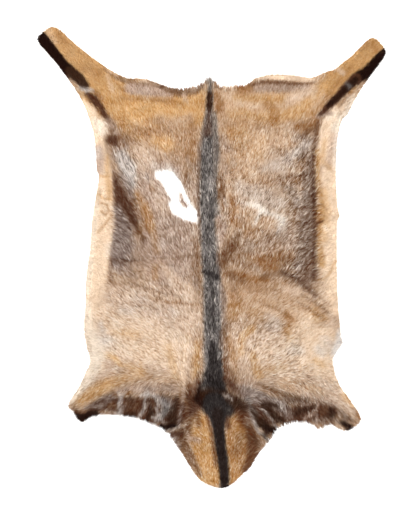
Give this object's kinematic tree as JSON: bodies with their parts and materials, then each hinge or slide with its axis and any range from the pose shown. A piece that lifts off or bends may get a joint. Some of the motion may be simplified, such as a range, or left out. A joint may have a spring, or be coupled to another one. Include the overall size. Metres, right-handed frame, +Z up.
{
  "type": "goatskin",
  "caption": "Tanned goatskin with its coat on, one hide lying flat in the animal's own outline, to spread on a floor, seat or bench.",
  "frame": {"origin": "centre of the hide's box, on the floor that it rests on", "axes": "+Y towards the hind legs and tail, -Y towards the neck, +Z up out of the coat"},
  "size_m": [0.6834, 0.9032, 0.0171],
  "materials": {
    "coat": "short glossy hair over matte skin"
  },
  "bodies": {
    "root": {"hide": "coat"}
  },
  "joints": []
}
